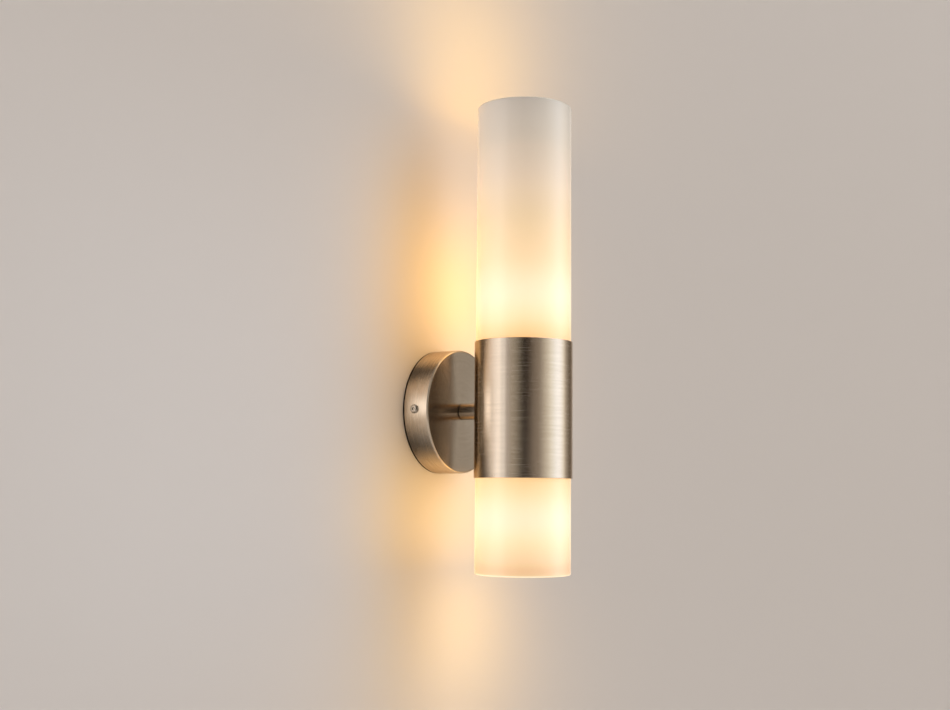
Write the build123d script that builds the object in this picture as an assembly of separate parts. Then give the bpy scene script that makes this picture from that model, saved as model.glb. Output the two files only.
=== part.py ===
from build123d import *
from math import asin, cos, pi, radians, sin, sqrt
import os

# A wall light with two opal glass tubes. One tube stands up from a metal collar and a shorter one hangs
# below it. A short arm carries the collar from a round canopy, which hides the wall bracket and the wiring.
#
# The light's own frame, in millimetres: the origin is the centre of the wall fixing, on the wall plane.
# +Z is up along the glass tubes, -Y is out into the room, and +X is to the right for someone facing it.

# ---- Driving dimensions ----

# Glass tubes, open at both ends
glass_diameter = 80.0
glass_wall = 3.0
glass_show_rim = 1.4  # radius of the fire-polished rim that shows
glass_seat_rim = 0.8  # radius of the ground rim inside the collar
upper_glass_top = 258.0  # above the arm's axis
lower_glass_bottom = 136.5  # below the arm's axis

# Collar that joins the tubes
collar_length = 114.0
collar_wall = 0.8
collar_edge = 0.25  # broken edge of the sheet
collar_play = 0.4  # all round each glass tube

# Arm and canopy
tube_axis_out = 86.0  # from the wall to the tubes' axis
arm_diameter = 14.0
arm_wall = 1.0
arm_edge = 0.4
arm_washer_diameter = 13.0
arm_washer_thickness = 0.5
canopy_diameter = 106.0
canopy_depth = 25.0  # from the wall to the canopy's face
canopy_wall = 1.2
canopy_edge = 1.5  # outer radius of the drawn edge
canopy_inner_edge = 0.4
seal_thickness = 1.5
seal_width = 1.4
seal_inset = 0.2  # the seal's edge lies this far inside the canopy's

# M10 x 1 threaded tubes, with their nuts and lock washers
m10_diameter = 10.0
m10_bore = 8.0
m10_past_nut = 1.7  # thread that stands past each nut
nut_flats = 14.0
nut_thickness = 3.0
lock_washer_diameter = 16.0
lock_washer_thickness = 0.8

# Wall bracket, pressed from sheet
bracket_sheet = 2.0
strap_width = 24.0
ear_width = 16.0
ear_reach = 18.0  # from the wall to the ear's tip
ear_corner = 3.0
bend_radius = 1.5
centre_plate_diameter = 54.0
tab_width = 30.0
tab_top = 41.0  # above the arm's axis
tab_corner = 4.0
wall_slot_spacing = 60.0
wall_slot_length = 12.0
wall_slot_width = 4.5
cable_hole_diameter = 14.0
cable_bush_bore = 9.0
cable_bush_flange = 18.0
cable_bush_flange_thickness = 1.4
cable_bush_lead_in = 0.8

# M4 screws that hold the canopy to the bracket's ears
canopy_screw_out = 12.0  # from the wall
m4_diameter = 4.0
canopy_screw_length = 8.0
canopy_screw_head = 7.6
canopy_screw_head_height = 2.2
canopy_screw_socket = 2.5  # across flats
canopy_screw_socket_depth = 1.3

# Strip that carries the lampholders inside the collar
strip_width = 20.0
strip_sheet = 2.0
flange_height = 24.0  # from the arm's axis to the outer face of each flange

# Gallery that each glass tube stands on
gallery_sheet = 1.0
gallery_play = 0.3  # between the disc and the collar
seat_ring_width = 3.4
seat_ring_thickness = 1.5
seat_ring_edge = 0.4

# Bow springs that grip the glass from inside
springs_per_glass = 3
spring_width = 8.0
spring_sheet = 0.5
spring_bow_radius = 30.0
spring_bow_half_angle = 18.0  # degrees each side of the crown
spring_foot_bend = 1.5
spring_foot_length = 11.0
spring_tip_radius = 3.0
spring_tip_angle = 50.0
rivet_diameter = 2.4
rivet_head_diameter = 4.4
rivet_head_height = 1.0
rivet_tail_diameter = 3.6
rivet_tail_height = 0.7

# E14 lampholder, heights above its base
holder_diameter = 28.0
holder_wall = 1.8
holder_neck_diameter = 16.0
holder_neck_height = 5.0
holder_cap_height = 15.0
holder_floor = 7.0
holder_shoulder = 9.0
holder_skirt_length = 29.0
holder_lip = 3.0
holder_mouth_diameter = 17.0
holder_rim_edge = 1.0
holder_mouth_edge = 0.7
holder_thread = 0.05  # between the neck and its threaded tube
core_thickness = 7.0
core_proud = 3.0  # above the cap's edge
core_ledge = 0.9
core_play = 0.2
core_entry_depth = 3.0
shell_bore = 14.3
shell_sheet = 0.5
shell_length = 22.0
shell_flange = 1.0
contact_sheet = 0.4
contact_width = 4.0
contact_length = 9.6
contact_rise = 0.8
contact_bend = 0.5

# E14 golf ball bulb, lengths from its contact
bulb_length = 78.0
bulb_diameter = 45.0
bulb_contact_diameter = 4.8
bulb_contact_height = 1.0
bulb_contact_edge = 0.6
bulb_insulator_diameter = 6.4
bulb_insulator_height = 3.0
bulb_cap_diameter = 13.7
bulb_cap_length = 21.0
bulb_cap_edge = 0.8
bulb_neck_diameter = 17.0
bulb_globe_cut = 11.5  # the globe ends this far below its own centre

# Terminal block on the bracket's tab
block_centre_up = 30.0
block_pole_pitch = 10.0
block_pole_width = 9.0
block_length = 16.0
block_height = 9.0
block_edge = 0.8
block_bore = 5.0
block_tower_diameter = 6.4
block_tower_height = 3.0
block_tower_pitch = 6.0
block_clamp_diameter = 4.8
block_clamp_bore = 3.2
block_clamp_length = 10.0
terminal_screw_head = 4.0
terminal_screw_head_height = 2.0
terminal_screw_diameter = 2.9
block_screw_diameter = 3.0
block_screw_length = 10.0
block_screw_head = 5.0
block_screw_head_height = 1.8
screw_slot_width = 0.8
screw_slot_depth = 0.9

# Earth connection, on a line that leans to the upper right
earth_angle = 45.0
earth_screw_from_centre = 19.0
earth_screw_head = 7.6
earth_screw_head_height = 2.4
lug_sheet = 0.8
lug_rim = 2.2  # metal round the lug's hole
lug_tail = 3.0
lug_barrel_length = 4.5
lug_barrel_wall = 0.5
lug_crimp = 1.0  # solid stretch between the lug's sheet and the lead's end
earth_loop_reach = 40.0  # from the arm's axis to the far side of the lead's loop

# Leads
lead_diameter = 2.0
lead_pitch = 2.6  # between neighbours that lie side by side
lead_bend_at_block = 9.0
lead_ease_at_block = 15.0
lead_bend_at_holder = 11.0
lead_ease_height = 17.0  # above the arm's axis, where the leads turn in from the block
earth_lead_bend = 8.5

# Clearances
turning_fit = 0.05  # between a thread and its tapped hole
hole_play = 0.2  # round a screw or tube in a plain hole
loose_fit = 0.1  # between fixed pieces that only lie against a curve
moving_gap = 0.3  # between pieces that slide or turn past each other

# ---- Sizes that follow from them ----

glass_radius = glass_diameter / 2
glass_bore_radius = glass_radius - glass_wall
collar_bore_radius = glass_radius + collar_play
collar_radius = collar_bore_radius + collar_wall
canopy_radius = canopy_diameter / 2
canopy_bore_radius = canopy_radius - canopy_wall
m10_hole_radius = m10_diameter / 2 + hole_play

# Along the arm, measured out from the wall
canopy_inside = canopy_depth - canopy_wall
wall_lock_washer_out = canopy_inside - lock_washer_thickness
arm_lug_out = wall_lock_washer_out - lug_sheet
wall_nut_out = arm_lug_out - nut_thickness
nipple_start = wall_nut_out - m10_past_nut
arm_start = canopy_depth + arm_washer_thickness
strip_face_out = tube_axis_out - sqrt(collar_bore_radius**2 - (strip_width / 2) ** 2) + loose_fit
collar_lock_washer_out = strip_face_out + strip_sheet
collar_nut_out = collar_lock_washer_out + lock_washer_thickness
nipple_end = collar_nut_out + nut_thickness + m10_past_nut

# Up each tube's axis, measured from the arm
gallery_low = flange_height
holder_base = gallery_low + gallery_sheet
seat_low = holder_base
glass_seat = seat_low + seat_ring_thickness
holder_nut_low = flange_height - strip_sheet - nut_thickness
holder_nipple_low = holder_nut_low - m10_past_nut
cap_floor = holder_base + holder_floor
holder_nipple_high = cap_floor
core_low = holder_base + holder_cap_height + core_proud - core_thickness
core_high = core_low + core_thickness
skirt_low = holder_base + holder_cap_height
holder_rim = skirt_low + holder_skirt_length
contact_top = core_high + contact_sheet + contact_rise
bulb_low = contact_top + moving_gap

# ---- Building aids ----


def turned(flat):
    """Turn a flat outline, drawn as radius across and height up, about the Z axis."""
    return revolve(Plane.XZ * flat, axis=Axis.Z)


def outline(*points):
    """A closed flat outline with straight sides."""
    return make_face(Polyline(*points, close=True))


def rounded(flat, corner, radius):
    """Round the corner of a flat outline that lies at the given point."""
    nearest = flat.vertices().sort_by_distance(Vector(*corner, 0))[0]
    return fillet(nearest, radius)


def crown(radius, low, height):
    """Outline of a domed head, from its edge to its top on the axis."""
    ball = (radius**2 + height**2) / (2 * height)
    half = asin(radius / ball) / 2
    middle = (ball * sin(half), low + height - ball * (1 - cos(half)))
    return ThreePointArc((radius, low), middle, (0, low + height))


def rod(radius, low, high):
    """A solid cylinder about the Z axis between two heights."""
    base = (Align.CENTER, Align.CENTER, Align.MIN)
    return Pos(0, 0, low) * Cylinder(radius, high - low, align=base)


def ring(outer, inner, low, high):
    """A plain tube or washer about the Z axis between two heights."""
    return rod(outer, low, high) - rod(inner, low, high)


def slab(flat, low, high):
    """A flat outline given a thickness between two heights."""
    return extrude(Pos(0, 0, low) * flat, high - low)


def from_wall(piece):
    """Stand a piece drawn as (right, up, out from the wall) on the wall."""
    return Rot(90, 0, 0) * piece


def on_tube(piece, side):
    """Put a piece drawn about the upper tube's axis in place, or turn it over for the lower tube."""
    turn = {"upper": 0, "lower": 180}[side]
    return Pos(0, -tube_axis_out, 0) * Rot(0, turn, 0) * piece


def along(path, section, across=(0, 1, 0)):
    """Sweep a section along a path. The section's own x lies across the path's start, as given."""
    start = Plane(origin=path @ 0, x_dir=across, z_dir=path % 0)
    return sweep(start * section, path=path)


# ---- Canopy and what fixes it ----


def canopy():
    """Drawn cup, open to the wall, with the arm's hole in its face and a screw hole in each side."""
    hole, face, back = m10_hole_radius, canopy_depth, seal_thickness
    cup = outline(
        (hole, face),
        (canopy_radius, face),
        (canopy_radius, back),
        (canopy_bore_radius, back),
        (canopy_bore_radius, canopy_inside),
        (hole, canopy_inside),
    )
    cup = rounded(cup, (canopy_radius, face), canopy_edge)
    cup = rounded(cup, (canopy_bore_radius, canopy_inside), canopy_inner_edge)
    drill = Rot(0, 90, 0) * Cylinder(m4_diameter / 2 + hole_play, canopy_diameter * 1.1)
    return from_wall(turned(cup) - Pos(0, 0, canopy_screw_out) * drill)


def wall_seal():
    """Foam ring between the canopy's back edge and the wall."""
    outer = canopy_radius - seal_inset
    return from_wall(ring(outer, outer - seal_width, 0, seal_thickness))


def ear_face():
    """How far the ears' outer faces stand from the centre, so that their corners clear the canopy's wall."""
    return sqrt((canopy_bore_radius - moving_gap) ** 2 - (ear_width / 2) ** 2)


def wall_bracket():
    """Flat plate with a tab for the terminal block, and two ears bent forward for the canopy's screws."""
    face = ear_face()
    inner = face - bracket_sheet
    fold = outline(
        (-face, 0),
        (face, 0),
        (face, ear_reach),
        (inner, ear_reach),
        (inner, bracket_sheet),
        (-inner, bracket_sheet),
        (-inner, ear_reach),
        (-face, ear_reach),
    )
    for side in (-1, 1):
        fold = rounded(fold, (side * face, 0), bend_radius + bracket_sheet)
        fold = rounded(fold, (side * inner, bracket_sheet), bend_radius)
    folded = extrude(Plane.XZ * fold, tab_top * 2, both=True)

    shoulder = 2 * (inner - bend_radius - bracket_sheet)
    plan = Rectangle(shoulder, strap_width) + Rectangle(2.1 * face, ear_width)
    plan += Circle(centre_plate_diameter / 2)
    tab = Pos(0, tab_top / 2) * Rectangle(tab_width, tab_top)
    top_corners = tab.vertices().group_by(Axis.Y)[-1]
    plan += fillet(top_corners, tab_corner)
    slot = SlotOverall(wall_slot_length, wall_slot_width)
    for side in (-1, 1):
        plan -= Pos(side * wall_slot_spacing / 2, 0) * slot
    plan -= Circle(cable_hole_diameter / 2)
    plan -= Pos(0, block_centre_up) * Circle(block_screw_diameter / 2 + turning_fit)
    earth = Rot(0, 0, earth_angle) * Pos(earth_screw_from_centre, 0)
    plan -= earth * Circle(m4_diameter / 2 + turning_fit)
    plate = folded & slab(plan, 0, ear_reach)

    tips = plate.edges().filter_by(Axis.X).group_by(Axis.Z)[-1]
    plate = fillet(tips, ear_corner)
    tap = Rot(0, 90, 0) * Cylinder(m4_diameter / 2 + turning_fit, canopy_diameter)
    return from_wall(plate - Pos(0, 0, canopy_screw_out) * tap)


def cable_bush():
    """Bush that lines the bracket's cable hole, pushed in from the front."""
    bore, body = cable_bush_bore / 2, cable_hole_diameter / 2 - hole_play
    top = bracket_sheet + cable_bush_flange_thickness
    bush = outline(
        (bore, hole_play),
        (body, hole_play),
        (body, bracket_sheet),
        (cable_bush_flange / 2, bracket_sheet),
        (cable_bush_flange / 2, top),
        (bore, top),
    )
    bush = rounded(bush, (bore, top), cable_bush_lead_in)
    bush = rounded(bush, (cable_bush_flange / 2, top), cable_bush_lead_in)
    return from_wall(turned(bush))


def canopy_screw(side):
    """Button head screw. The head lies on the canopy's side and the shank passes through into the ear."""
    radius, top = canopy_screw_head / 2, canopy_screw_head_height
    shank, tip = m4_diameter / 2, -canopy_screw_length
    below = Polyline((0, top), (0, tip), (shank, tip), (shank, 0), (radius, 0))
    socket = RegularPolygon(canopy_screw_socket / sqrt(3), 6)
    screw = turned(make_face(Curve() + [crown(radius, 0, top), below]))
    screw -= slab(socket, top - canopy_screw_socket_depth, top)
    sign = {"left": -1, "right": 1}[side]
    seat = (sign * (canopy_radius + loose_fit), -canopy_screw_out, 0)
    return Plane(origin=seat, x_dir=(0, 0, 1), z_dir=(sign, 0, 0)) * screw


# ---- Arm ----


def hex_nut(low):
    """Thin M10 nut."""
    body = slab(RegularPolygon(nut_flats / sqrt(3), 6), low, low + nut_thickness)
    return body - rod(m10_diameter / 2 + turning_fit, low, low + nut_thickness)


def lock_washer(low):
    """Washer under an M10 nut."""
    return ring(lock_washer_diameter / 2, m10_hole_radius, low, low + lock_washer_thickness)


def arm_tube():
    """Sleeve round the threaded tube, from the canopy's face to the collar, where its end is cut to fit."""
    sleeve = outline(
        (arm_diameter / 2 - arm_wall, arm_start),
        (arm_diameter / 2, arm_start),
        (arm_diameter / 2, tube_axis_out),
        (arm_diameter / 2 - arm_wall, tube_axis_out),
    )
    sleeve = rounded(sleeve, (arm_diameter / 2, arm_start), arm_edge)
    saddle = Pos(0, -tube_axis_out, 0) * Cylinder(collar_radius + turning_fit, collar_length)
    return from_wall(turned(sleeve)) - saddle


# ---- Collar and the strip inside it ----


def collar():
    """Plain tube with one hole at the back for the arm."""
    low, high = -collar_length / 2, collar_length / 2
    wall = outline(
        (collar_bore_radius, low),
        (collar_radius, low),
        (collar_radius, high),
        (collar_bore_radius, high),
    )
    for end in (low, high):
        wall = rounded(wall, (collar_radius, end), collar_edge)
    drill = Pos(0, 0, tube_axis_out / 2) * Cylinder(m10_hole_radius, tube_axis_out)
    return Pos(0, -tube_axis_out, 0) * turned(wall) - from_wall(drill)


def lampholder_strip():
    """C-shaped strip. The arm's nut clamps its back to the collar, and each flange takes a lampholder."""
    back, high = strip_face_out, flange_height
    front = tube_axis_out + strip_width / 2
    section = outline(
        (front, -high),
        (back, -high),
        (back, high),
        (front, high),
        (front, high - strip_sheet),
        (back + strip_sheet, high - strip_sheet),
        (back + strip_sheet, strip_sheet - high),
        (front, strip_sheet - high),
    )
    for end in (-1, 1):
        section = rounded(section, (back, end * high), bend_radius + strip_sheet)
        inner = (back + strip_sheet, end * (high - strip_sheet))
        section = rounded(section, inner, bend_radius)
    side_view = Plane(origin=(0, 0, 0), x_dir=(0, -1, 0), z_dir=(-1, 0, 0))
    folded = extrude(side_view * section, strip_width / 2, both=True)
    nose = rod(strip_width / 2, -high, high)
    tail = Pos(0, (tube_axis_out - back) / 2, 0) * Box(strip_width, tube_axis_out - back, 2 * high)
    strip = folded & (Pos(0, -tube_axis_out, 0) * (nose + tail))
    bores = Pos(0, -tube_axis_out, 0) * rod(m10_hole_radius, -high, high)
    return strip - bores - from_wall(rod(m10_hole_radius, back, collar_nut_out))


# ---- Gallery, seat and springs of one tube, drawn about the upper tube's axis ----


def spring_turns():
    """Headings of the springs round the tube, the first one towards the room."""
    return [-90 + 360 / springs_per_glass * n for n in range(springs_per_glass)]


def spring_crown_radius():
    """Radius at which the springs' crowns run along the middle of their sheet."""
    return glass_bore_radius - moving_gap - spring_sheet / 2


def spring_bend_start():
    """Radius at which a spring's flat foot ends and its bend begins."""
    heading = radians(90 - spring_bow_half_angle)
    return spring_crown_radius() - spring_bow_radius * (1 - sin(heading)) - spring_foot_bend * sin(heading)


def rivet_radius():
    """Where the rivets stand: half way along the springs' feet."""
    return spring_bend_start() - spring_foot_length / 2


def gallery():
    """Disc on the strip's flange that carries the seat ring and the springs."""
    radius = collar_bore_radius - gallery_play
    disc = ring(radius, m10_hole_radius, gallery_low, holder_base)
    drill = Pos(rivet_radius(), 0, 0) * rod(rivet_diameter / 2 + turning_fit, gallery_low, holder_base)
    for turn in spring_turns():
        disc -= Rot(0, 0, turn) * drill
    return disc


def seat_ring():
    """Soft ring on the gallery's edge. The glass tube's end stands on it."""
    outer = glass_radius - turning_fit
    inner = outer - seat_ring_width
    section = outline((inner, seat_low), (outer, seat_low), (outer, glass_seat), (inner, glass_seat))
    for edge in (inner, outer):
        section = rounded(section, (edge, glass_seat), seat_ring_edge)
    return turned(section)


def leaf_springs():
    """Bent strips, each with a riveted foot, a bowed back that bears on the glass and a tip turned in."""
    middle = holder_base + spring_sheet / 2
    start = spring_bend_start()
    foot = Line((start - spring_foot_length, middle), (start, middle))
    bend = JernArc(foot @ 1, foot % 1, spring_foot_bend, 90 - spring_bow_half_angle)
    bow = JernArc(bend @ 1, bend % 1, spring_bow_radius, 2 * spring_bow_half_angle)
    tip = JernArc(bow @ 1, bow % 1, spring_tip_radius, spring_tip_angle)
    path = Plane.XZ * (foot + bend + bow + tip)
    strip = along(path, Rectangle(spring_width, spring_sheet))
    strip -= Pos(rivet_radius(), 0, 0) * rod(rivet_diameter / 2 + turning_fit, 0, glass_seat)
    return [Rot(0, 0, turn) * strip for turn in spring_turns()]


def spring_rivets():
    """Rivets through the springs' feet and the disc, with a domed head above and a flat tail below."""
    shank = rivet_diameter / 2
    head = rivet_head_diameter / 2
    seat = holder_base + spring_sheet
    tail = gallery_low - rivet_tail_height
    rest = Polyline(
        (0, seat + rivet_head_height),
        (0, tail),
        (rivet_tail_diameter / 2, tail),
        (rivet_tail_diameter / 2, gallery_low),
        (shank, gallery_low),
        (shank, seat),
        (head, seat),
    )
    rivet = turned(make_face(Curve() + [crown(head, seat, rivet_head_height), rest]))
    return [Rot(0, 0, turn) * Pos(rivet_radius(), 0, 0) * rivet for turn in spring_turns()]


def glass_tube(length):
    """Opal glass tube, from its seat to its open end."""
    low, high = glass_seat, length
    inner, outer = glass_bore_radius, glass_radius
    wall = outline((inner, low), (outer, low), (outer, high), (inner, high))
    for edge in (inner, outer):
        wall = rounded(wall, (edge, low), glass_seat_rim)
        wall = rounded(wall, (edge, high), glass_show_rim)
    return turned(wall)


# ---- Lampholder and bulb of one tube, drawn about the upper tube's axis ----


def m10_tube(low, high):
    """Threaded tube."""
    return ring(m10_diameter / 2, m10_bore / 2, low, high)


def holder_cap():
    """Base of the lampholder, screwed on its threaded tube, with a ledge inside for the core."""
    bore = m10_diameter / 2 + holder_thread
    neck, outer = holder_neck_diameter / 2, holder_diameter / 2
    inner = outer - holder_wall
    top = skirt_low
    cap = outline(
        (bore, holder_base),
        (neck, holder_base),
        (neck, holder_base + holder_neck_height),
        (outer, holder_base + holder_shoulder),
        (outer, top),
        (inner, top),
        (inner, core_low),
        (inner - core_ledge, core_low),
        (inner - core_ledge, holder_base + holder_shoulder + holder_wall / 2),
        (neck - holder_wall / 2, cap_floor),
        (bore, cap_floor),
    )
    return turned(cap)


def holder_skirt():
    """Smooth sleeve of the lampholder, with a lip turned in at its mouth."""
    outer = holder_diameter / 2
    inner, mouth = outer - holder_wall, holder_mouth_diameter / 2
    skirt = outline(
        (inner, skirt_low),
        (outer, skirt_low),
        (outer, holder_rim),
        (mouth, holder_rim),
        (mouth, holder_rim - holder_lip),
        (inner, holder_rim - holder_lip),
    )
    skirt = rounded(skirt, (outer, holder_rim), holder_rim_edge)
    skirt = rounded(skirt, (mouth, holder_rim), holder_mouth_edge)
    return turned(skirt)


def holder_core():
    """Porcelain disc with an entry hole below for each lead."""
    radius = holder_diameter / 2 - holder_wall - core_play
    core = rod(radius, core_low, core_high)
    for side in (-1, 1):
        entry = rod(lead_diameter / 2 + turning_fit, core_low, core_low + core_entry_depth)
        core -= Pos(side * lead_pitch / 2, 0, 0) * entry
    return core


def holder_shell():
    """Brass sleeve that takes the bulb's cap, flanged on the core."""
    bore = shell_bore / 2
    flange = ring(bore + shell_sheet + shell_flange, bore, core_high, core_high + shell_sheet)
    return flange + ring(bore + shell_sheet, bore, core_high, core_high + shell_length)


def holder_contact():
    """Sprung brass strip under the bulb's contact, stepped up from the core."""
    low = core_high + contact_sheet / 2
    high = low + contact_rise
    half = contact_length / 2
    step = contact_rise
    edge = bulb_contact_diameter / 2
    path = FilletPolyline((-half, low), (-edge - step, low), (-edge, high), (half, high), radius=contact_bend)
    return along(Plane.XZ * path, Rectangle(contact_width, contact_sheet))


bulb_contact_high = bulb_low + bulb_contact_height
bulb_cap_low = bulb_contact_high + bulb_insulator_height
bulb_cap_high = bulb_cap_low + bulb_cap_length
bulb_tip = bulb_low + bulb_length
globe_radius = bulb_diameter / 2
globe_centre = bulb_tip - globe_radius
globe_low = globe_centre - bulb_globe_cut
globe_low_radius = sqrt(globe_radius**2 - bulb_globe_cut**2)
globe_low_angle = asin(bulb_globe_cut / globe_radius)


def bulb_contact():
    """Solder contact at the bulb's end."""
    radius = bulb_contact_diameter / 2
    button = outline((0, bulb_low), (radius, bulb_low), (radius, bulb_contact_high), (0, bulb_contact_high))
    return turned(rounded(button, (radius, bulb_low), bulb_contact_edge))


def bulb_insulator():
    """Black glass cone between the contact and the cap."""
    low, high = bulb_insulator_diameter / 2, bulb_cap_diameter / 2 - bulb_cap_edge
    return turned(
        outline((0, bulb_contact_high), (low, bulb_contact_high), (high, bulb_cap_low), (0, bulb_cap_low))
    )


def bulb_cap():
    """Screw cap, at the outer diameter of its thread."""
    radius = bulb_cap_diameter / 2
    cap = outline((0, bulb_cap_low), (radius, bulb_cap_low), (radius, bulb_cap_high), (0, bulb_cap_high))
    return turned(rounded(cap, (radius, bulb_cap_low), bulb_cap_edge))


def bulb_housing():
    """Bowl that opens from the neck to the globe in one hollow curve and meets the globe's own slope."""
    neck = bulb_neck_diameter / 2
    side = Spline(
        (neck, bulb_cap_high),
        (globe_low_radius, globe_low),
        tangents=[(0.25, 1), (sin(globe_low_angle), cos(globe_low_angle))],
    )
    rest = Polyline((globe_low_radius, globe_low), (0, globe_low), (0, bulb_cap_high), (neck, bulb_cap_high))
    return turned(make_face(Curve() + [side, rest]))


def bulb_globe():
    """Ball-shaped diffuser, cut flat where it meets the housing."""
    half = (pi / 2 - globe_low_angle) / 2
    middle = (globe_radius * cos(half), globe_centre + globe_radius * sin(half))
    side = ThreePointArc((globe_low_radius, globe_low), middle, (0, bulb_tip))
    rest = Polyline((0, bulb_tip), (0, globe_low), (globe_low_radius, globe_low))
    return turned(make_face(Curve() + [side, rest]))


# ---- Wiring, drawn as (right, up, out from the wall) ----

poles = (-block_pole_pitch / 2, block_pole_pitch / 2)
block_face = bracket_sheet + block_height
block_axis_out = bracket_sheet + block_height / 2


def block_screws_up():
    """Heights of each pole's two screws."""
    return [block_centre_up + end * block_tower_pitch / 2 for end in (-1, 1)]


def crosswise(radius, right, length):
    """A rod along one pole of the terminal block."""
    return Pos(right, block_centre_up, block_axis_out) * Rot(90, 0, 0) * Cylinder(radius, length)


def terminal_block():
    """Moulded body with two poles, a screw tower over each end of a pole, and a hole for its own screw."""
    width = block_pole_pitch + block_pole_width
    body = slab(Rectangle(width, block_length), bracket_sheet, block_face)
    body = fillet(body.edges().filter_by(Axis.Z), block_edge)
    body = Pos(0, block_centre_up, 0) * body
    places = [Pos(x, y, 0) for x in poles for y in block_screws_up()]
    tower_top = block_face + block_tower_height
    for place in places:
        body += place * rod(block_tower_diameter / 2, block_axis_out, tower_top)
    for place in places:
        body -= place * rod(terminal_screw_head / 2 + hole_play, block_axis_out, tower_top)
    for x in poles:
        body -= crosswise(block_bore / 2, x, block_length)
    own_hole = rod(block_screw_diameter / 2 + hole_play, bracket_sheet, block_face)
    body -= Pos(0, block_centre_up, 0) * own_hole
    return from_wall(body)


def terminal_clamps():
    """Brass tube of each pole, tapped for its two screws."""
    clamps = []
    for x in poles:
        tube = crosswise(block_clamp_diameter / 2, x, block_clamp_length)
        tube -= crosswise(block_clamp_bore / 2, x, block_clamp_length)
        for y in block_screws_up():
            tap = rod(terminal_screw_diameter / 2 + turning_fit, block_axis_out, block_face)
            tube -= Pos(x, y, 0) * tap
        clamps.append(from_wall(tube))
    return clamps


def slotted_screw(diameter, length, head, head_height, seat):
    """Cheese head screw that points at the wall, with its head's underside at the given distance out."""
    screw = rod(head / 2, seat, seat + head_height) + rod(diameter / 2, seat - length, seat)
    slot = Box(2 * head, screw_slot_width, screw_slot_depth)
    return screw - Pos(0, 0, seat + head_height - screw_slot_depth / 2) * slot


def terminal_screws():
    """The four screws that press the leads."""
    seat = block_axis_out + block_clamp_diameter / 2 + loose_fit
    length = seat - block_axis_out - turning_fit
    head, height = terminal_screw_head, terminal_screw_head_height
    screw = slotted_screw(terminal_screw_diameter, length, head, height, seat)
    return [from_wall(Pos(x, y, 0) * screw) for x in poles for y in block_screws_up()]


def block_screw():
    """Screw that fixes the terminal block to the bracket's tab."""
    size = (block_screw_diameter, block_screw_length, block_screw_head, block_screw_head_height)
    return from_wall(Pos(0, block_centre_up, 0) * slotted_screw(*size, block_face))


def on_earth_line(piece):
    """Turn a piece drawn in the plane of right and out on to the earth connection's line."""
    return from_wall(Rot(0, 0, earth_angle) * piece)


def lug(hole_radius, centre, low, lean):
    """Ring terminal with a blind crimp barrel that points away from the arm.

    The barrel rises out from the sheet with a lean of 1, and in towards the wall with a lean of -1.
    """
    rim = hole_radius + lug_rim
    start = centre + rim + lug_tail
    radius = lead_diameter / 2 + turning_fit + lug_barrel_wall
    plan = Pos(centre, 0) * Circle(rim)
    plan += Pos((centre + start + lug_crimp) / 2, 0) * Rectangle(start + lug_crimp - centre, lug_tail)
    plan -= Pos(centre, 0) * Circle(hole_radius)
    axis = lug_axis_out(low, lean)
    barrel = Pos(start + lug_barrel_length / 2, 0, axis) * Rot(0, 90, 0) * Cylinder(radius, lug_barrel_length)
    bore_length = lug_barrel_length - lug_crimp
    bore_centre = start + lug_crimp + bore_length / 2
    bore = Pos(bore_centre, 0, axis) * Rot(0, 90, 0) * Cylinder(radius - lug_barrel_wall, bore_length)
    return slab(plan, low, low + lug_sheet) + barrel - bore


def lug_axis_out(low, lean):
    """How far out the axis of a ring terminal's barrel lies."""
    radius = lead_diameter / 2 + turning_fit + lug_barrel_wall
    return low + radius if lean > 0 else low + lug_sheet - radius


def earth_lugs():
    """One ring terminal under the arm's nut and one under the earth screw."""
    arm = lug(m10_hole_radius, 0, arm_lug_out, -1)
    plate = lug(m4_diameter / 2 + hole_play, earth_screw_from_centre, bracket_sheet, 1)
    return [on_earth_line(arm), on_earth_line(plate)]


def earth_screw():
    """Screw that holds the plate's ring terminal. It stops short of the wall."""
    seat = bracket_sheet + lug_sheet
    screw = slotted_screw(m4_diameter, seat - hole_play, earth_screw_head, earth_screw_head_height, seat)
    return on_earth_line(Pos(earth_screw_from_centre, 0, 0) * screw)


def earth_lead():
    """Lead that loops from the arm's ring terminal back to the plate's."""
    arm_end = m10_hole_radius + lug_rim + lug_tail + lug_crimp
    plate_end = earth_screw_from_centre + m4_diameter / 2 + hole_play + lug_rim + lug_tail + lug_crimp
    arm_out = lug_axis_out(arm_lug_out, -1)
    plate_out = lug_axis_out(bracket_sheet, 1)
    route = FilletPolyline(
        (arm_end, 0, arm_out),
        (earth_loop_reach, 0, arm_out),
        (earth_loop_reach, 0, plate_out),
        (plate_end, 0, plate_out),
        radius=[earth_lead_bend, earth_lead_bend],
    )
    return [on_earth_line(lead("earth lead", route, [earth_lead_bend] * 2))]


def lead(name, route, radii):
    """Insulated wire along a route of straight runs and tangent arcs. Prints its bends and its volume."""
    wire = along(route, Circle(lead_diameter / 2))
    plain = pi * lead_diameter**2 / 4 * route.length
    print(f"{name}: length {route.length:.1f}, bend radii {radii}")
    print(f"    volume over section times length {wire.volume / plain:.4f}")
    return wire


def supply_leads(name, pole):
    """The two leads of one pole, from the terminal block through the arm to the upper and lower cores."""
    across = pole * lead_pitch / 2
    leads = []
    for side in (1, -1):
        out = block_axis_out + side * lead_pitch / 2
        bend = lead_bend_at_block if side > 0 else lead_bend_at_block + lead_pitch
        radii = [lead_ease_at_block, bend, lead_bend_at_holder]
        route = FilletPolyline(
            (pole * block_pole_pitch / 2, -out, block_centre_up - block_clamp_length / 2),
            (pole * block_pole_pitch / 2, -out, lead_ease_height),
            (across, -out, side * lead_pitch / 2),
            (across, -tube_axis_out, side * lead_pitch / 2),
            (across, -tube_axis_out, side * (core_low + core_entry_depth)),
            radius=radii,
        )
        leads.append(lead(name, route, radii))
    return leads


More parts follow.
